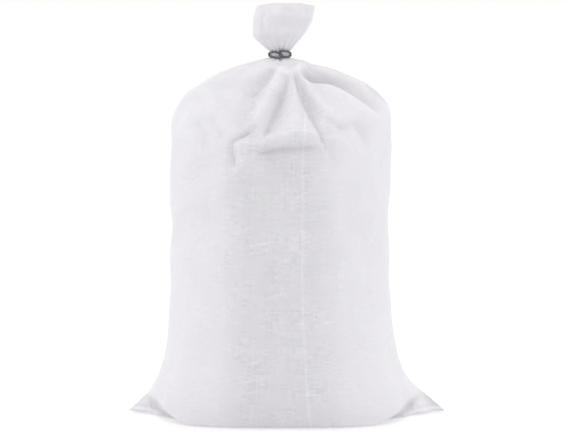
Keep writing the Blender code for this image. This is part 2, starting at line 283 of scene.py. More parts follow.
def row_places():
    """Places of the rows along the sections, as far apart along the cloth as ROW_SPACINGS asks."""
    fine = np.linspace(0, len(SECTIONS) - 1, MEASURED_PLACES)
    skin = plain_skin(fine, MEASURED_COLUMNS)
    steps = np.linalg.norm(np.diff(skin, axis=0), axis=-1).mean(axis=1)
    given_at = [PLACE_OF[name] for name, _ in ROW_SPACINGS]
    spacing = np.interp(fine[1:], given_at, [gap for _, gap in ROW_SPACINGS])
    gone = np.concatenate([[0], np.cumsum(steps / (spacing * MM))])
    return np.interp(np.linspace(0, gone[-1], round(gone[-1]) + 1), gone, fine)


def normals(rings):
    """Outward unit normals of a skin of rings."""
    around = np.roll(rings, -1, axis=1) - np.roll(rings, 1, axis=1)
    along = np.gradient(rings, axis=0)
    return unit(np.cross(around, along))


def lengths_up(rings):
    """How far each point lies up the cloth from the hem, along its own column."""
    steps = np.linalg.norm(np.diff(rings, axis=0), axis=-1)
    return np.concatenate([np.zeros((1, rings.shape[1])), np.cumsum(steps, axis=0)])


def curve_through(points, steps=8):
    """A smooth line through the given points."""
    points = np.array([2 * points[0] - points[1], *points, 2 * points[-1] - points[-2]])
    line = []
    for a, b, c, d in zip(points, points[1:], points[2:], points[3:]):
        for t in np.arange(steps) / steps:
            cubic = (2 * a - 5 * b + 4 * c - d) * t**2 + (3 * b - a - 3 * c + d) * t**3
            line.append(0.5 * (2 * b + (c - a) * t + cubic))
    return np.array(line + [points[-2]])


def fold_depth(x, z, points, depth, right_width, left_width, roundness):
    """How far a fold along a line moves the points of a panel inwards."""
    line = curve_through(np.array(points, float) * MM)
    best = np.full(x.shape, np.inf)
    side = np.zeros(x.shape)
    along = np.zeros(x.shape)
    for i, (a, b) in enumerate(zip(line, line[1:])):
        run = b - a
        t = np.clip(((x - a[0]) * run[0] + (z - a[1]) * run[1]) / (run @ run), 0, 1)
        dx, dz = x - a[0] - run[0] * t, z - a[1] - run[1] * t
        distance = np.hypot(dx, dz)
        nearer = distance < best
        best = np.where(nearer, distance, best)
        side = np.where(nearer, run[0] * dz - run[1] * dx, side)
        along = np.where(nearer, (i + t) / (len(line) - 1), along)
    width = np.where(side > 0, right_width, left_width) * MM
    taper = smoothstep(along / FOLD_FADES_IN) * smoothstep((1 - along) / FOLD_FADES_OUT)
    return depth * MM * np.exp(-((best / width) ** roundness)) * taper


def lumps(skin, places):
    """How far the sand's lumps push the cloth out, from the low side up to the shoulders."""
    amount = rises(places, "low_curve", 2) * falls(places, "lobe_top", 2)
    rows = [[noise.noise(Vector(point) / LUMP_WIDTH) for point in ring] for ring in skin]
    return np.array(rows) * LUMP_HEIGHT * amount[:, None]


def side_creases(skin, places):
    """How far the flattened tube's two side creases stand out."""
    length = np.linalg.norm(np.diff(skin, axis=1, append=skin[:, :1]), axis=-1)
    gone = np.cumsum(length, axis=1)
    around = gone[:, -1:]
    middle = gone[:, PANEL_COLUMNS - 1 : PANEL_COLUMNS]
    from_side = np.minimum(np.minimum(gone, around - gone), abs(gone - middle))
    amount = rises(places, "flare", 2) * falls(places, "lobe", 3)
    return SIDE_CREASE_HEIGHT * np.exp(-from_side / SIDE_CREASE_WIDTH) * amount[:, None]


def ear_relief(skin):
    """How far waves and puckers move both layers of an ear back, and the turned-up hem's thickness."""
    x, z = skin[..., 0], skin[..., 2]
    from_body = abs(x - AXIS_X) - EAR_FROM
    on_ear = smoothstep(from_body / EAR_FADES_IN) * smoothstep((EAR_TOP - z) / EAR_FADES_OUT)
    wave = -EAR_WAVE * np.sin(2 * pi * (from_body + EAR_WAVE_SLANT * z) / EAR_WAVE_LENGTH)
    up = lengths_up(skin)
    near_thread = np.exp(-(((up - THREAD_ABOVE_HEM) / PUCKER_REACH) ** 2))
    pucker = PUCKER * np.sin(2 * pi * from_body / PUCKER_LENGTH) * near_thread
    hem = HEM_TURN_UP_THICKNESS * smoothstep((HEM_TURN_UP - up) / HEM_STEP)
    return (wave + pucker) * on_ear, hem * on_ear


def neck_gathers(places):
    """How far the gathers at the neck draw the points of a panel inwards."""
    across = np.linspace(-1, 1, PANEL_COLUMNS + 1)[None, :]
    neck = (PLACE_OF["neck_low"] + PLACE_OF["neck_high"]) / 2
    gathered = smoothstep(1 + GATHERS_FULL - abs(places[:, None] - neck) / GATHERS_FADE)
    wander = GATHERS_WANDER * np.sin(WANDER_RATE * across)
    wave = NECK_GATHER_DEPTH * (1 + np.cos(NECK_GATHERS * pi * across + wander))
    return gathered * wave


def folded_skin(places):
    """The cloth with its folds, gathers and lumps, and how deep each point lies in a fold."""
    plain = plain_skin(places, PANEL_COLUMNS)
    half_way = PANEL_COLUMNS + 1
    front = plain[:, :half_way]
    back = np.concatenate([plain[:, :1], plain[:, : half_way - 2 : -1]], axis=1)
    depths = {"front": np.zeros(front.shape[:2]), "back": np.zeros(back.shape[:2])}
    shapes = {"front": front, "back": back}
    for panel, points, depth, right, left, roundness in FOLDS:
        shape = shapes[panel]
        depths[panel] += fold_depth(shape[..., 0], shape[..., 2], points, depth, right, left, roundness)
    relief = joined(depths["front"], depths["back"])
    gathers = neck_gathers(places)
    moved = relief + joined(gathers, gathers)
    ear_shift, hem = ear_relief(plain)
    moved -= lumps(plain, places) + side_creases(plain, places) + hem
    skin = plain - normals(plain) * moved[..., None]
    skin[..., 1] += ear_shift
    return skin, relief / FULL_RELIEF


def lining(rings, places):
    """The inside of the tuft: rings from the mouth's rim down to the neck, where the funnel closes."""
    outside = np.linspace(len(SECTIONS) - 1, PLACE_OF[LINING_ENDS], LINING_ROWS)
    rows = np.interp(outside, places, np.arange(len(places)))
    low = np.minimum(rows.astype(int), len(rings) - 2)
    share = (rows - low)[:, None, None]
    shells = rings[low] * (1 - share) + rings[low + 1] * share
    axis = shells.mean(axis=1, keepdims=True)
    outwards = shells - axis
    radius = np.linalg.norm(outwards, axis=-1, keepdims=True)
    closing = smoothstep(np.linspace(0, 1, LINING_ROWS))[:, None, None]
    kept = (1 - CLOTH_THICKNESS / radius) * (1 - closing) + LINING_END_SHARE * closing
    return axis + outwards * kept


# The cloth's places round the tube are read at this height, where it is spread out.
CHEST_HEIGHT = 250 * MM
# The cloth counts as gathered up to this share of its full width, and as spread out from so much more.
GATHERED_WIDTH, SPREAD_OVER = 0.2, 0.6


def cloth_lengths(rings):
    """The cloth's own coordinates: each column's place round the tube, and each point's up it."""
    chest = rings[np.argmin(abs(rings[:, PANEL_COLUMNS // 2, 2] - CHEST_HEIGHT))]
    closed = np.concatenate([chest, chest[:1]])
    gone = np.concatenate([[0], np.cumsum(np.linalg.norm(np.diff(closed, axis=0), axis=1))])
    gone = gone * (2 * FLAT_WIDTH / gone[-1]) - FLAT_WIDTH / 2
    return gone, lengths_up(rings)


def spread(rings):
    """How flat the cloth lies round each ring: 1 where it is spread out, 0 where it is gathered."""
    around = np.linalg.norm(np.diff(rings, axis=1, append=rings[:, :1]), axis=-1).sum(axis=1)
    share = smoothstep((around / (2 * FLAT_WIDTH) - GATHERED_WIDTH) / SPREAD_OVER)
    return np.repeat(share[:, None], rings.shape[1], axis=1)


def ring_faces(mesh, rows):
    """Faces between neighbouring rings, with the column and row of each of their corners."""
    count = len(rows[0])
    for r in range(len(rows) - 1):
        for i in range(count):
            j = (i + 1) % count
            face = mesh.faces.new((rows[r][i], rows[r][j], rows[r + 1][j], rows[r + 1][i]))
            yield face, [(i, r), (i + 1, r), (i + 1, r + 1), (i, r + 1)]


def closing_faces(mesh, ring, row):
    """A strip of faces that joins the front and back panels along the first or last ring."""
    count = len(ring)
    for i in range(count // 2):
        columns = [i, i + 1, count - i - 1, count - i]
        corners = list(dict.fromkeys(column % count for column in columns))
        yield mesh.faces.new([ring[c] for c in corners]), [(c, row) for c in corners]


def make_cloth_mesh(rings, relief):
    """The sack's cloth as one closed mesh, with its cloth coordinates, relief and spread on it."""
    mesh = bmesh.new()
    rows = [[mesh.verts.new(point) for point in ring] for ring in rings]
    gone, up = cloth_lengths(rings)
    layer = mesh.loops.layers.uv.new("cloth")
    last = len(rows) - 1
    made = [*ring_faces(mesh, rows), *closing_faces(mesh, rows[0], 0), *closing_faces(mesh, rows[-1], last)]
    for face, corners in made:
        face.smooth = True
        for loop, (column, row) in zip(face.loops, corners):
            loop[layer].uv = (gone[column], up[row][column % len(rings[0])])
    bmesh.ops.recalc_face_normals(mesh, faces=mesh.faces)
    data = bpy.data.meshes.new("sack_cloth")
    mesh.to_mesh(data)
    mesh.free()
    for name, values in (("relief", relief), ("spread", spread(rings))):
        data.attributes.new(name, "FLOAT", "POINT").data.foreach_set("value", values.ravel())
    return data


class Shader:
    """A node material that is built from sums: each call adds a node and gives its output back."""

    def __init__(self, name):
        self.material = bpy.data.materials.new(name)
        self.material.use_nodes = True
        self.tree = self.material.node_tree
        self.inputs = self.tree.nodes["Principled BSDF"].inputs

    def put(self, socket, value):
        if isinstance(value, bpy.types.NodeSocket):
            self.tree.links.new(value, socket)
        else:
            socket.default_value = value

    def node(self, kind, *values, **settings):
        made = self.tree.nodes.new(kind)
        for name, value in settings.items():
            setattr(made, name, value)
        for socket, value in zip(made.inputs, values):
            if value is not None:
                self.put(socket, value)
        return made

    def math(self, operation, *values):
        return self.node("ShaderNodeMath", *values, operation=operation).outputs[0]

    def attribute(self, name):
        return self.node("ShaderNodeAttribute", attribute_name=name).outputs["Fac"]

    def place(self):
        """The point's own place in metres, which stays with the piece as it moves."""
        return self.node("ShaderNodeTexCoord").outputs["Object"]

    def noise(self, at, scale, detail=2.0):
        made = self.node("ShaderNodeTexNoise")
        self.put(made.inputs["Vector"], at)
        made.inputs["Scale"].default_value = scale
        made.inputs["Detail"].default_value = detail
        return made.outputs["Fac"]

    def tone(self, colour, factor):
        """A colour made lighter or darker by a factor that changes over the surface."""
        made = self.node("ShaderNodeVectorMath", operation="SCALE")
        made.inputs[0].default_value = colour
        self.put(made.inputs["Scale"], factor)
        return made.outputs[0]

    def bump(self, height, distance, strength=1.0):
        made = self.node("ShaderNodeBump")
        self.put(made.inputs["Height"], height)
        self.put(made.inputs["Strength"], strength)
        made.inputs["Distance"].default_value = distance
        self.tree.links.new(made.outputs[0], self.inputs["Normal"])


# The cloth's colour, how far tapes and clouds depart from it, and how much painted shade darkens the gaps
# between tapes.
CLOTH_COLOUR = (0.83, 0.815, 0.85)
TAPE_TONES, CLOTH_CLOUDS, GAP_PAINTED_SHADE = 0.035, 0.05, 0.015
CLOUDS_IN_METRE, CLOUD_DETAIL = 14.0, 4.0
# Streaks that run along the tapes: how strong they are on the tapes across and up the sack and in single
# cells, and how many of them fit in the width of a tape. Neighbouring tapes' streaks lie far apart.
WEFT_TONES, WARP_TONES, CELL_TONES = 0.16, 0.06, 0.06
WEFT_STREAKS, WARP_STREAKS, APART = 0.22, 0.10, 7.3
# Each way of the weave reads the noise in a place of its own, for its streaks and for its tapes' tones.
WEFT_SEED, WARP_SEED, WEFT_TONE_SEED, WARP_TONE_SEED = 1.0, 5.0, 0.5, 0.25
# The middle of each panel shows its weave more, and is a little greyer with painted shade that stands in for
# the sides being lit more.
MIDDLE_ENDS, MIDDLE_FADES, MIDDLE_PAINTED_SHADE, SIDE_WEAVE = 40 * MM, 44 * MM, 0.075, 0.45
# The tape up the front that lies this far right of its middle is brighter.
BRIGHT_TAPE_U, BRIGHT_TAPE_TONE, SAME_TAPE = 31 * MM, 0.04, 0.1
# Painted shade darkens the cloth in its hollows and painted highlights lighten it on its ridges, by these
# shares at full relief.
HOLLOW_PAINTED_SHADE, RIDGE_PAINTED_HIGHLIGHT = 0.09, 0.12
# The higher these powers are, the flatter a tape is across its width and the narrower the painted shade in its
# gaps is.
TAPE_FLATNESS, GAP_NARROWNESS, TAPE_RELIEF = 6.0, 3.0, 0.08 * MM
# The weave shows more in some patches than in others: how many patches there are in a metre, and between
# which values of the noise the weave goes from the one strength to the other.
WORN_PATCHES, WORN_NOISE, WORN_WEAVE = 38.0, (0.38, 0.62), (0.35, 1.7)
# The cloth's least roughness, how much more it gets, in how many patches in a metre, and its gloss.
CLOTH_ROUGHNESS, ROUGHNESS_VARIES, ROUGH_PATCHES, CLOTH_SPECULAR = 0.36, 0.2, 90.0, 0.3


def weave(s, place_across, place_up):
    """The height and tone of tapes woven one over one, each of which shows at every other cell."""
    u, v = (s.math("DIVIDE", place, TAPE_WIDTH) for place in (place_across, place_up))
    warp, weft = s.math("FLOOR", u), s.math("FLOOR", v)
    across, along = s.math("FRACT", u), s.math("FRACT", v)
    warp_shows = s.math("FLOORED_MODULO", s.math("ADD", warp, weft), 2.0)

    def arch(share):
        return s.math("SINE", s.math("MULTIPLY", share, pi))

    def flat(share):
        from_middle = s.math("ABSOLUTE", s.math("MULTIPLY_ADD", share, 2.0, -1.0))
        return s.math("SUBTRACT", 1.0, s.math("POWER", from_middle, TAPE_FLATNESS))

    def chosen(of_weft, of_warp):
        return s.math("MULTIPLY_ADD", warp_shows, s.math("SUBTRACT", of_warp, of_weft), of_weft)

    def streaks(tape, other, streaks_in_tapes, seed):
        along_tape = s.math("MULTIPLY", other, streaks_in_tapes)
        place = s.node("ShaderNodeCombineXYZ", s.math("MULTIPLY", tape, APART), along_tape, seed)
        return s.math("SUBTRACT", s.noise(place.outputs[0], 1.0), 0.5)

    def own_tone(tape, seed):
        made = s.node("ShaderNodeTexWhiteNoise", noise_dimensions="1D")
        s.put(made.inputs["W"], s.math("ADD", tape, seed))
        return made.outputs["Value"]

    weft_height = s.math("MULTIPLY", arch(across), flat(along))
    warp_height = s.math("MULTIPLY", arch(along), flat(across))
    height = chosen(weft_height, warp_height)
    of_tape = chosen(own_tone(weft, WEFT_TONE_SEED), own_tone(warp, WARP_TONE_SEED))
    tone = s.math("MULTIPLY_ADD", of_tape, TAPE_TONES, -TAPE_TONES / 2)
    of_weft = streaks(weft, u, WEFT_STREAKS, WEFT_SEED)
    of_warp = streaks(warp, v, WARP_STREAKS, WARP_SEED)
    streaked = s.math("MULTIPLY", of_weft, WEFT_TONES)
    streaked = s.math("MULTIPLY_ADD", of_warp, WARP_TONES, streaked)
    streaked = s.math("MULTIPLY_ADD", chosen(of_weft, of_warp), CELL_TONES, streaked)
    patches = s.noise(s.place(), WORN_PATCHES, 1.0)
    worn = s.node("ShaderNodeMapRange", patches, *WORN_NOISE, *WORN_WEAVE).outputs[0]
    tone = s.math("MULTIPLY_ADD", streaked, worn, tone)
    # Painted shade in the gaps between tapes, where the weave is lowest.
    gap = s.math("POWER", s.math("SUBTRACT", 1.0, height), GAP_NARROWNESS)
    tone = s.math("MULTIPLY_ADD", gap, -GAP_PAINTED_SHADE, tone)
    bright = s.math("COMPARE", warp, float(int(BRIGHT_TAPE_U / TAPE_WIDTH)), SAME_TAPE)
    return height, s.math("MULTIPLY_ADD", bright, BRIGHT_TAPE_TONE, tone)


def woven_material():
    """White woven cloth: its weave shows in the middle of each panel, which is greyed by painted shade, and
    hollows are darker than ridges by painted shade in the hollows and painted highlights on the ridges.
    """
    s = Shader("woven_polypropylene")
    uv = s.node("ShaderNodeUVMap", uv_map="cloth").outputs[0]
    split = s.node("ShaderNodeSeparateXYZ", uv).outputs
    height, tone = weave(s, split[0], split[1])
    spread_out = s.attribute("spread")
    from_middle = s.math("ABSOLUTE", s.math("WRAP", split[0], FLAT_WIDTH / 2, -FLAT_WIDTH / 2))
    fade = s.node("ShaderNodeMapRange", from_middle, MIDDLE_ENDS, MIDDLE_ENDS + MIDDLE_FADES, 1.0, 0.0)
    fade.interpolation_type = "SMOOTHSTEP"
    middle = fade.outputs[0]
    tone = s.math("MULTIPLY", tone, s.math("MULTIPLY_ADD", middle, 1 - SIDE_WEAVE, SIDE_WEAVE))
    # Painted shade: the middle of each panel is made greyer than its sides.
    tone = s.math("MULTIPLY", s.math("MULTIPLY_ADD", middle, -MIDDLE_PAINTED_SHADE, tone), spread_out)
    clouds = s.math("SUBTRACT", s.noise(s.place(), CLOUDS_IN_METRE, CLOUD_DETAIL), 0.5)
    tone = s.math("MULTIPLY_ADD", clouds, CLOTH_CLOUDS, tone)
    relief = s.attribute("relief")
    # Painted shade in the hollows and painted highlights on the ridges, by how deep each point lies in a fold.
    tone = s.math("MULTIPLY_ADD", s.math("MAXIMUM", relief, 0.0), -HOLLOW_PAINTED_SHADE, tone)
    tone = s.math("MULTIPLY_ADD", s.math("MINIMUM", relief, 0.0), -RIDGE_PAINTED_HIGHLIGHT, tone)
    s.put(s.inputs["Base Color"], s.tone(CLOTH_COLOUR, s.math("ADD", tone, 1.0)))
    rough = s.noise(s.place(), ROUGH_PATCHES)
    s.put(s.inputs["Roughness"], s.math("MULTIPLY_ADD", rough, ROUGHNESS_VARIES, CLOTH_ROUGHNESS))
    s.inputs["Specular IOR Level"].default_value = CLOTH_SPECULAR
    s.bump(height, TAPE_RELIEF, spread_out)
    return s.material


# The cloth simulation: every fourth row and column of the cloth grows by a share of its size while weak
# springs hold it to its shape, so that it wrinkles.
SETTLE_STEP, SETTLE_FRAMES = 4, 14
SPARE_CLOTH, HELD_SOFTLY = 0.035, 0.2
POINT_MASS, STRETCH_STIFFNESS, SHEAR_STIFFNESS, BEND_STIFFNESS = 0.3, 20, 8, 3
# The broad swelling, which is what so many blurs leave, is taken out again. The wrinkles are kept at these
# shares of their height on the body and on the shoulders, and none moves the cloth further than this.
SWELLING_BLURS = 30
BODY_WRINKLES, SHOULDER_WRINKLES, MOST_MOVED = 0.3, 0.55, 4 * MM


def blurred(field, times):
    """A field over the rings, smoothed round them and along the sack."""
    for _ in range(times):
        field = (np.roll(field, 1, axis=1) + 2 * field + np.roll(field, -1, axis=1)) / 4
        longer = np.concatenate([field[:1], field, field[-1:]])
        field = (longer[:-2] + 2 * field + longer[2:]) / 4
    return field


def simulated(rings, free):
    """How far each point of a tube of cloth moves in the simulation. Rows that aren't free are pinned."""
    mesh = bmesh.new()
    rows = [[mesh.verts.new(point) for point in ring] for ring in rings]
    for face, _ in ring_faces(mesh, rows):
        face.smooth = True
    data = bpy.data.meshes.new("settling")
    mesh.to_mesh(data)
    mesh.free()
    cloth = bpy.data.objects.new("settling", data)
    bpy.context.scene.collection.objects.link(cloth)
    held = cloth.vertex_groups.new(name="held")
    count = rings.shape[1]
    for row, loose in enumerate(free):
        held.add(list(range(row * count, (row + 1) * count)), 1 + (HELD_SOFTLY - 1) * loose, "REPLACE")
    modifier = cloth.modifiers.new("cloth", "CLOTH")
    modifier.collision_settings.use_collision = False
    modifier.point_cache.frame_end = SETTLE_FRAMES
    settings = modifier.settings
    settings.vertex_group_mass = "held"
    settings.effector_weights.gravity = 0
    settings.shrink_min = -SPARE_CLOTH
    settings.mass = POINT_MASS
    settings.tension_stiffness = settings.compression_stiffness = STRETCH_STIFFNESS
    settings.shear_stiffness = SHEAR_STIFFNESS
    settings.bending_stiffness = BEND_STIFFNESS
    for step in range(1, SETTLE_FRAMES + 1):
        bpy.context.scene.frame_set(step)
    shaped = cloth.evaluated_get(bpy.context.evaluated_depsgraph_get()).to_mesh()
    settled = np.empty(rings.size)
    shaped.vertices.foreach_get("co", settled)
    bpy.context.scene.frame_set(1)
    bpy.data.objects.remove(cloth)
    return settled.reshape(rings.shape) - rings


def wrinkled(rings, places):
    """The cloth with the simulation's wrinkles on it, and how deep each point lies in one."""
    step = SETTLE_STEP
    free = rises(places, "flare_top", 2) * falls(places, "neck_foot", 1.5)
    moved = simulated(rings[::step, ::step], free[::step])
    moved -= blurred(moved, SWELLING_BLURS)
    rows, columns = ((np.arange(n) / step + 0.5).astype(int) for n in rings.shape[:2])
    whole = moved[np.minimum(rows, len(moved) - 1)][:, columns % moved.shape[1]]
    moved = blurred(whole, step**2 // 2)
    strength = BODY_WRINKLES + (SHOULDER_WRINKLES - BODY_WRINKLES) * rises(places, "upper", 2)
    moved *= (strength * free)[:, None, None]
    far = np.linalg.norm(moved, axis=-1, keepdims=True)
    moved *= np.minimum(1, MOST_MOVED / np.maximum(far, TINY))
    return rings + moved, -(moved * normals(rings)).sum(axis=-1)


def make_sack():
    places = row_places()
    rings, relief = folded_skin(places)
    rings, deeper = wrinkled(rings, places)
    relief += deeper / FULL_RELIEF
    inside = lining(rings, places)
    rings = np.concatenate([rings, inside])
    relief = np.concatenate([relief, np.repeat(relief[-1:], len(inside), axis=0)])
    make_thread(rings[: len(places)])
    data = make_cloth_mesh(rings, relief)
    data.materials.append(woven_material())
    sack = bpy.data.objects.new("sack_cloth", data)
    bpy.context.scene.collection.objects.link(sack)
    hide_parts("sack")
    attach(sack, "root")
    return sack


THREAD_COLOUR, THREAD_ROUGHNESS, THREAD_RELIEF = (0.86, 0.85, 0.83), 0.6, 0.1 * MM
# The twist's bands: their scale, and how much darker their grooves are with painted shade.
TWIST_SCALE, TWIST_PAINTED_SHADE = 500.0, 0.15


def thread_material():
    """White sewing thread with the bands of its twist, and painted shade in the twist's grooves."""
    s = Shader("sewing_thread")
    twist = s.node("ShaderNodeTexWave", s.place(), wave_type="BANDS", bands_direction="DIAGONAL")
    twist.inputs["Scale"].default_value = TWIST_SCALE
    strand = twist.outputs["Fac"]
    # Painted shade: the thread is darker where its twist's relief is low.
    tone = s.math("MULTIPLY_ADD", strand, TWIST_PAINTED_SHADE, 1 - TWIST_PAINTED_SHADE)
    s.put(s.inputs["Base Color"], s.tone(THREAD_COLOUR, tone))
    s.inputs["Roughness"].default_value = THREAD_ROUGHNESS
    s.bump(strand, THREAD_RELIEF)
    return s.material


def point_at(at, gone, table):
    """A point read from a table, at a length along the line whose lengths are given."""
    return np.array([np.interp(at, gone, table[:, k]) for k in range(3)])


def make_thread(rings):
    """The hem's stitches where they show, on both faces of the two ears."""
    up = lengths_up(rings)
    out = normals(rings)
    mesh = bmesh.new()
    line, facing = [], []
    for c in range(rings.shape[1]):
        row = int(np.searchsorted(up[:, c], THREAD_ABOVE_HEM))
        line.append(rings[row, c])
        facing.append(out[row, c])
    line, facing = np.array(line), np.array(facing)
    gone = np.concatenate([[0], np.cumsum(np.linalg.norm(np.diff(line, axis=0), axis=1))])
    for at in np.arange(STITCH_PITCH, gone[-1], STITCH_PITCH):
        place, way = point_at(at, gone, line), point_at(at, gone, facing)
        ahead = point_at(at + MM, gone, line) - place
        if abs(place[0]) < EAR_FROM + STITCHES_START or abs(way[1]) < LEAST_FACING:
            continue
        along, outwards = Vector(ahead).normalized(), Vector(way).normalized()
        side = outwards.cross(along).normalized()
        turn = Matrix((along, side, outwards)).transposed().to_4x4()
        size = Matrix.Diagonal((STITCH_LENGTH / 2, THREAD_RADIUS, THREAD_RADIUS, 1))
        middle = Matrix.Translation(Vector(place) + outwards * THREAD_RADIUS * STITCH_RAISED)
        bmesh.ops.create_icosphere(mesh, subdivisions=2, radius=1, matrix=middle @ turn @ size)
    for face in mesh.faces:
        face.smooth = True
    data = bpy.data.meshes.new("hem_thread")
    mesh.to_mesh(data)
    mesh.free()
    data.materials.append(thread_material())
    thread = bpy.data.objects.new("hem_thread", data)
    bpy.context.scene.collection.objects.link(thread)
    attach(thread, "root")


GRAINS_IN_METRE, SAND_ROUGHNESS, GRAIN_RELIEF = 1600.0, 0.8, 0.4 * MM
# The colours that a grain is picked from, with their places from the darkest to the palest.
GRAIN_COLOURS = [(0.0, (0.35, 0.26, 0.18, 1)), (0.15, (0.72, 0.58, 0.42, 1)), (0.6, (0.84, 0.77, 0.64, 1))]
PALEST_GRAIN = (0.93, 0.90, 0.84, 1)


def sand_material():
    """Dry quartz grains: mostly pale ones, with some rusty and some dark ones between."""
    s = Shader("sand")
    grain = s.node("ShaderNodeTexVoronoi")
    s.put(grain.inputs["Vector"], s.place())
    grain.inputs["Scale"].default_value = GRAINS_IN_METRE
    pick = s.node("ShaderNodeSeparateColor", grain.outputs["Color"]).outputs[0]
    ramp = s.node("ShaderNodeValToRGB", pick)
    for position, colour in GRAIN_COLOURS:
        stop = ramp.color_ramp.elements.new(position)
        stop.color = colour
    ramp.color_ramp.elements[-1].color = PALEST_GRAIN
    s.put(s.inputs["Base Color"], ramp.outputs["Color"])
    s.inputs["Roughness"].default_value = SAND_ROUGHNESS
    s.bump(grain.outputs["Distance"], GRAIN_RELIEF)
    return s.material


def make_sand(sack):
    """The sand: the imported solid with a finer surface, drawn in wherever the cloth's folds press into it."""
    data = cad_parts["sand_fill"].data.copy()
    data.materials.clear()
    data.materials.append(sand_material())
    mesh = bmesh.new()
    mesh.from_mesh(data)
    bmesh.ops.remove_doubles(mesh, verts=mesh.verts, dist=SAME_POINT)
    bmesh.ops.subdivide_edges(mesh, edges=mesh.edges, cuts=SAND_CUTS, use_grid_fill=True)
    bmesh.ops.triangulate(mesh, faces=mesh.faces)
    cloth = bmesh.new()
    cloth.from_object(sack, bpy.context.evaluated_depsgraph_get())
    tree = BVHTree.FromBMesh(cloth)
    for vert in mesh.verts:
        axis = Vector((AXIS_X, 0, vert.co.z))
        out = Vector((vert.co.x - axis.x, vert.co.y, 0))
        hit = tree.ray_cast(axis, out.normalized())
        margin = SAND_BELOW_FOLDS if vert.co.z > FOLDS_START else SAND_BELOW_CLOTH
        reach = min(out.length, hit[3] - margin) if hit[0] else out.length
        vert.co = axis + out.normalized() * reach * SAND_DRAWN_IN
    mesh.to_mesh(data)
    mesh.free()
    cloth.free()
    sand = bpy.data.objects.new("sand", data)
    bpy.context.scene.collection.objects.link(sand)
    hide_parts("sand_fill")
    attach(sand, "root")


# One wire goes twice round the neck, and its ends are wound round each other upright at the front.
WIRE_RADIUS, WIRE_SIDES = 1.3 * MM, 10
NECK_MIDDLE = Vector((-9.75, 0, 494)) * MM
# The neck is measured at this many places, with this many columns on each panel.
NECK_PLACES, NECK_COLUMNS = 80, 48
KNOT_X, KNOT_HALF_HEIGHT, KNOT_TURNS, KNOT_POINTS = -8.5 * MM, 5.0 * MM, 1.25, 14
# In radii of the wire: how far the knot's middle stands in front of the neck, and its wires beside that.
KNOT_IN_FRONT, KNOT_SPREAD = 2.6, 1.15
# Two more points lead from the neck to the knot, at these shares of the way.
KNOT_LEAD = (0.35, 0.7)
# The route has a point at every step of this many degrees, and its heights are smoothed by these weights.
ROUTE_STEP, ROUTE_WEIGHTS = 8.0, [0.25, 0.5, 0.25]
# The wire's height above the middle of the neck, in mm, against the angle it has gone round, in degrees.
# 0 is the sack's right, and the front is at -90, 270 and 630.
WIRE_HEIGHTS = [
    (-62, 4.4), (-40, 3.8), (-12, 1.3), (90, 1.3), (192, 1.3), (214, 2.6), (240, 3.5), (262, 2.4),
    (278, -2.4), (300, -3.7), (326, -3.2), (348, -1.3), (450, -1.3), (552, -1.3), (580, -3.2), (602, -4.3),
]


def neck_outline(height):
    """The neck's outline before its gathers, at a height above its middle."""
    places = np.linspace(PLACE_OF["gather"], PLACE_OF["tuft_foot"], NECK_PLACES)
    rings = plain_skin(places, NECK_COLUMNS)
    levels = rings[:, NECK_COLUMNS // 2, 2] - NECK_MIDDLE.z
    ring = rings[np.argmin(abs(levels - height))]
    return ring[:, :2] - np.array(NECK_MIDDLE[:2])


def wire_route():
    """Points of the wire's middle line, laid on the neck."""
    turned = np.array([angle for angle, _ in WIRE_HEIGHTS], float)
    lift = np.array([height for _, height in WIRE_HEIGHTS]) * MM
    around = np.arange(turned[0], turned[-1] + 1, ROUTE_STEP)
    heights = np.interp(around, turned, lift)
    heights = np.convolve(np.pad(heights, 1, mode="edge"), ROUTE_WEIGHTS, mode="valid")
    route = []
    for degrees, height in zip(around, heights):
        outline = neck_outline(height)
        bearing = np.arctan2(outline[:, 1], outline[:, 0])
        off = abs(np.angle(np.exp(1j * (bearing - radians(degrees)))))
        radius = np.linalg.norm(outline[np.argmin(off)]) + WIRE_RADIUS
        place = Vector((cos(radians(degrees)) * radius, sin(radians(degrees)) * radius, height))
        route.append(NECK_MIDDLE + place)
    return route


def knot_route(start, ends_down):
    """One of the two wires of the knot, from its turn round the neck to its cut end."""
    front = min(p[1] for p in neck_outline(0)) + NECK_MIDDLE.y - KNOT_IN_FRONT * WIRE_RADIUS
    centre = Vector((KNOT_X, front, NECK_MIDDLE.z))
    way = -1 if ends_down else 1
    points = []
    for share in np.linspace(0, 1, KNOT_POINTS):
        turn = 2 * pi * KNOT_TURNS * share + (0 if ends_down else pi)
        aside = Vector((cos(turn), sin(turn), 0)) * WIRE_RADIUS * KNOT_SPREAD
        rise = Vector((0, 0, way * KNOT_HALF_HEIGHT * (2 * share - 1)))
        points.append(centre + aside + rise)
    return [start.lerp(points[0], share) for share in KNOT_LEAD] + points


WIRE_COLOUR, WIRE_METALLIC = (0.16, 0.16, 0.17), 0.8
# Rubbed spots: how many in a metre, their detail, the darkest tone and how much brighter they get.
RUBBED_SPOTS, RUBBED_DETAIL, DARKEST_TONE, RUBBED_TONE = 400.0, 3.0, 0.5, 1.0
# The wire's least roughness, how much more it gets, and in how many spots in a metre.
WIRE_ROUGHNESS, WIRE_ROUGHNESS_VARIES, ROUGH_SPOTS = 0.3, 0.3, 900.0
PITS_IN_METRE, PIT_DEPTH = 2500.0, 0.03 * MM


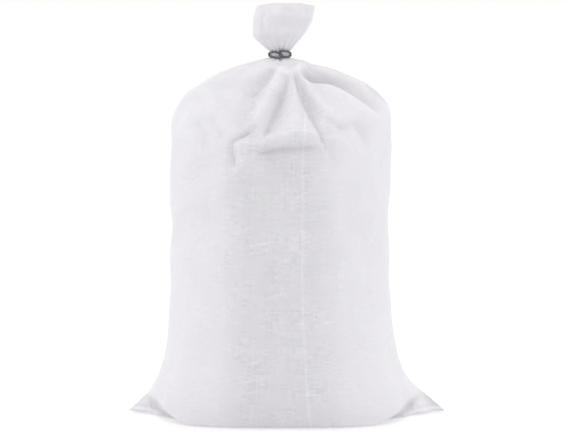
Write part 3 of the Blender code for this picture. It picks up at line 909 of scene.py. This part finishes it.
def wire_material():
    """Annealed steel: a dark oxide skin with a dull sheen, fine pits and brighter rubbed spots."""
    s = Shader("annealed_steel_wire")
    rubbed = s.noise(s.place(), RUBBED_SPOTS, RUBBED_DETAIL)
    tone = s.math("MULTIPLY_ADD", rubbed, RUBBED_TONE, DARKEST_TONE)
    s.put(s.inputs["Base Color"], s.tone(WIRE_COLOUR, tone))
    s.inputs["Metallic"].default_value = WIRE_METALLIC
    rough = s.noise(s.place(), ROUGH_SPOTS)
    s.put(s.inputs["Roughness"], s.math("MULTIPLY_ADD", rough, WIRE_ROUGHNESS_VARIES, WIRE_ROUGHNESS))
    s.bump(s.noise(s.place(), PITS_IN_METRE), PIT_DEPTH)
    return s.material


def smooth_tube(name, points, radius, sides):
    """A closed tube with rounded bends along these points."""
    curve = bpy.data.curves.new(name, "CURVE")
    curve.dimensions = "3D"
    curve.bevel_depth = radius
    curve.bevel_resolution = sides // 2 - 2
    curve.use_fill_caps = True
    curve.resolution_u = 3
    line = curve.splines.new("NURBS")
    line.points.add(len(points) - 1)
    for point, place in zip(line.points, points):
        point.co = (*place, 1)
    line.order_u = 3
    line.use_endpoint_u = True
    tube = bpy.data.objects.new(name, curve)
    bpy.context.scene.collection.objects.link(tube)
    return tube


def make_wire():
    turns = wire_route()
    points = knot_route(turns[0], True)[::-1] + turns + knot_route(turns[-1], False)
    wire = smooth_tube("wire_tie", points, WIRE_RADIUS, WIRE_SIDES)
    wire.data.materials.append(wire_material())
    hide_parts("tie_wire")
    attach(wire, "root")


# Each light's direction, its strength in watts a square metre and how wide it spreads, in degrees.
LIGHTS = [
    ("overhead", (0.03, 0.42, -0.9), 0.86, 28),
    ("left", (1, 0.1, -0.08), 0.5, 50),
    ("right", (-1, 0.1, -0.08), 0.5, 50),
]
# The white surroundings light the sack less from its front, so that its sides come out lighter. They change
# between these two parts of a direction's length along Y.
FRONT_BRIGHTNESS, BACK_BRIGHTNESS = 0.39, 1.0
FRONT_Y, BACK_Y = -1, 0.5

# The floor's size in metres, how far it lies below the sack, and its grey, roughness and glow.
FLOOR_SIZE, FLOOR_BELOW = 80, 0.3 * MM
FLOOR_GREY, FLOOR_ROUGHNESS, FLOOR_GLOW = 0.64, 0.9, 0.35

# The camera stands level with the sack's shoulders and looks slightly down. Its distance is a guess.
CAMERA_DISTANCE = 2.2
CAMERA_ELEVATION = radians(5)
AIM = Vector((0.0007, 0, 0.2736))
FOCAL_PIXELS, FRAME_WIDTH = 1599, 575
SENSOR_WIDTH = 36


def make_camera():
    lens = bpy.data.cameras.new("camera")
    lens.sensor_width = SENSOR_WIDTH
    lens.lens = FOCAL_PIXELS / FRAME_WIDTH * SENSOR_WIDTH
    camera = bpy.data.objects.new("camera", lens)
    offset = Vector((0, -cos(CAMERA_ELEVATION), sin(CAMERA_ELEVATION))) * CAMERA_DISTANCE
    camera.location = AIM + offset
    camera.rotation_euler = (-offset).to_track_quat("-Z", "Y").to_euler()
    bpy.context.scene.collection.objects.link(camera)
    bpy.context.scene.camera = camera


def make_floor():
    """A pale floor that glows a little, so that it comes out white."""
    bpy.ops.mesh.primitive_plane_add(size=FLOOR_SIZE, location=(0, 0, -FLOOR_BELOW))
    floor = bpy.context.object
    floor.name = "floor"
    s = Shader("floor_white")
    s.inputs["Base Color"].default_value = (FLOOR_GREY, FLOOR_GREY, FLOOR_GREY, 1)
    s.inputs["Roughness"].default_value = FLOOR_ROUGHNESS
    s.inputs["Emission Color"].default_value = (1, 1, 1, 1)
    s.inputs["Emission Strength"].default_value = FLOOR_GLOW
    floor.data.materials.append(s.material)


def sun(name, towards, power, spread_degrees):
    """A far soft light that shines towards a direction."""
    light = bpy.data.lights.new(name, "SUN")
    light.energy = power
    light.angle = radians(spread_degrees)
    lamp = bpy.data.objects.new(name, light)
    lamp.rotation_euler = Vector(towards).to_track_quat("-Z", "Y").to_euler()
    bpy.context.scene.collection.objects.link(lamp)


def make_world():
    """White surroundings that light the sack less from its front, and look plain white on every side."""
    world = bpy.data.worlds.new("studio")
    world.use_nodes = True
    tree = world.node_tree
    place = tree.nodes.new("ShaderNodeTexCoord")
    split = tree.nodes.new("ShaderNodeSeparateXYZ")
    ramp = tree.nodes.new("ShaderNodeMapRange")
    ramp.inputs["From Min"].default_value = FRONT_Y
    ramp.inputs["From Max"].default_value = BACK_Y
    ramp.inputs["To Min"].default_value = FRONT_BRIGHTNESS
    ramp.inputs["To Max"].default_value = BACK_BRIGHTNESS
    tree.links.new(place.outputs["Generated"], split.inputs[0])
    tree.links.new(split.outputs["Y"], ramp.inputs["Value"])
    seen = tree.nodes.new("ShaderNodeLightPath").outputs["Is Camera Ray"]
    shown = tree.nodes.new("ShaderNodeMath")
    shown.operation = "MAXIMUM"
    tree.links.new(ramp.outputs[0], shown.inputs[0])
    tree.links.new(seen, shown.inputs[1])
    tree.links.new(shown.outputs[0], tree.nodes["Background"].inputs["Color"])
    bpy.context.scene.world = world


def make_light():
    make_world()
    bpy.context.scene.view_settings.view_transform = "Standard"
    for name, towards, power, spread_degrees in LIGHTS:
        sun(name, towards, power, spread_degrees)


sack = make_sack()
make_sand(sack)
make_wire()
make_floor()
make_camera()
make_light()
